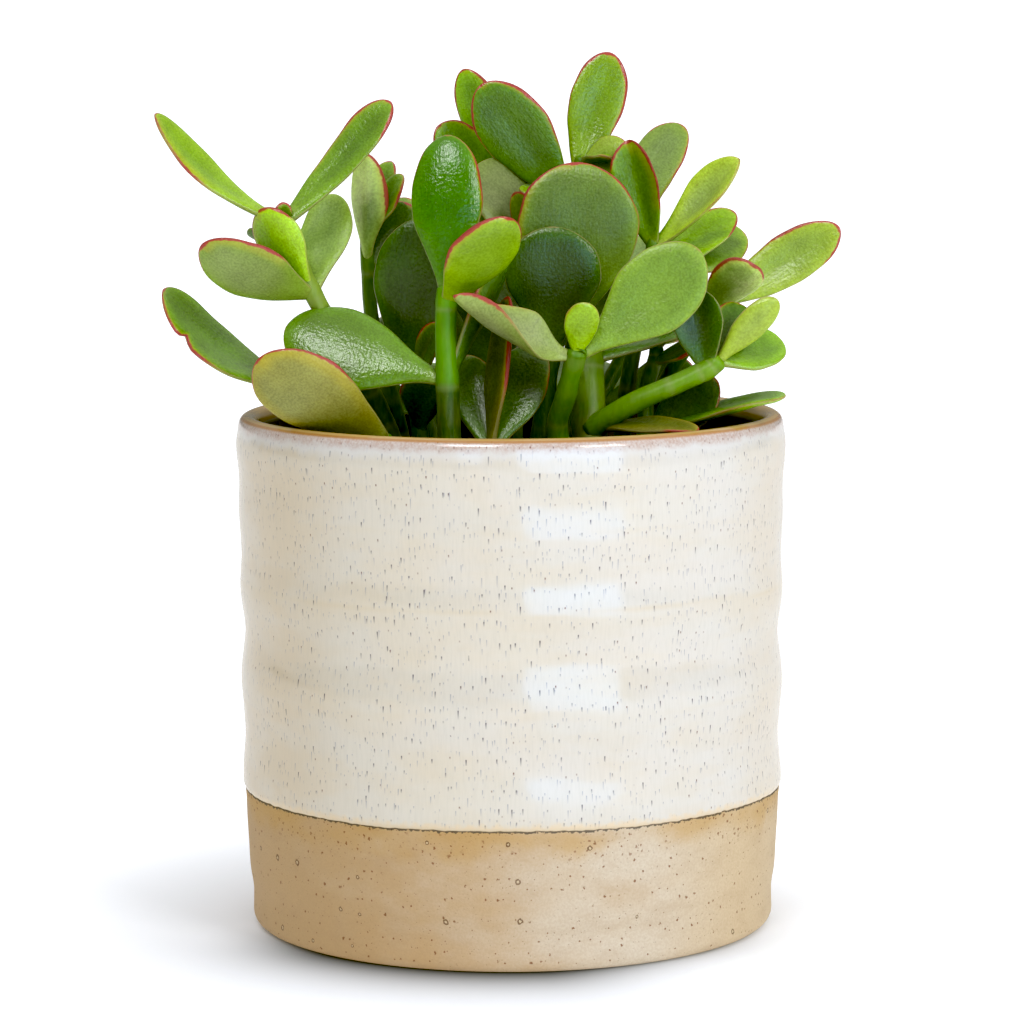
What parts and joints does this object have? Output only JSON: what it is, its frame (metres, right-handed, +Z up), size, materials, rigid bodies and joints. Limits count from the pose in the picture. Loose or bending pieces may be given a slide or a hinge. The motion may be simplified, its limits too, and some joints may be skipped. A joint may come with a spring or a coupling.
{
  "type": "potted sunset jade plant",
  "caption": "Branching jade plant with thick red-edged oval leaves, standing in soil in a straight glazed stoneware pot with a bare clay foot.",
  "frame": {"origin": "middle of the pot's underside, on the surface that the pot stands on", "axes": "+Z up along the pot's axis, -Y towards the plant's front, +X to the viewer's right"},
  "size_m": [0.1635, 0.135, 0.2135],
  "materials": {
    "glazed_stoneware": "glossy cream glaze with fine speckle",
    "bare_clay": "matt unglazed sandy clay with rust specks",
    "potting_soil": "crumbly, matt",
    "jade_foliage": "waxy, semi-gloss, with crimson margins"
  },
  "bodies": {
    "root": {"pot": "glazed_stoneware", "soil": "potting_soil", "leafy_stem_left": "jade_foliage", "leafy_stem_low_left": "jade_foliage", "leafy_stem_left_rear": "jade_foliage", "leafy_stem_shaded": "jade_foliage", "leafy_stem_front_left": "jade_foliage", "leafy_stem_centre_low": "jade_foliage", "leafy_stem_centre": "jade_foliage", "leafy_stem_top": "jade_foliage", "leafy_stem_back_top": "jade_foliage", "leafy_stem_right_upper": "jade_foliage", "leafy_stem_right": "jade_foliage", "leafy_stem_front_trunk": "jade_foliage", "leafy_stem_low_right": "jade_foliage", "leafy_stem_back_right": "jade_foliage", "leafy_stem_back_left": "jade_foliage", "leafy_stem_back_low": "jade_foliage"}
  },
  "joints": []
}
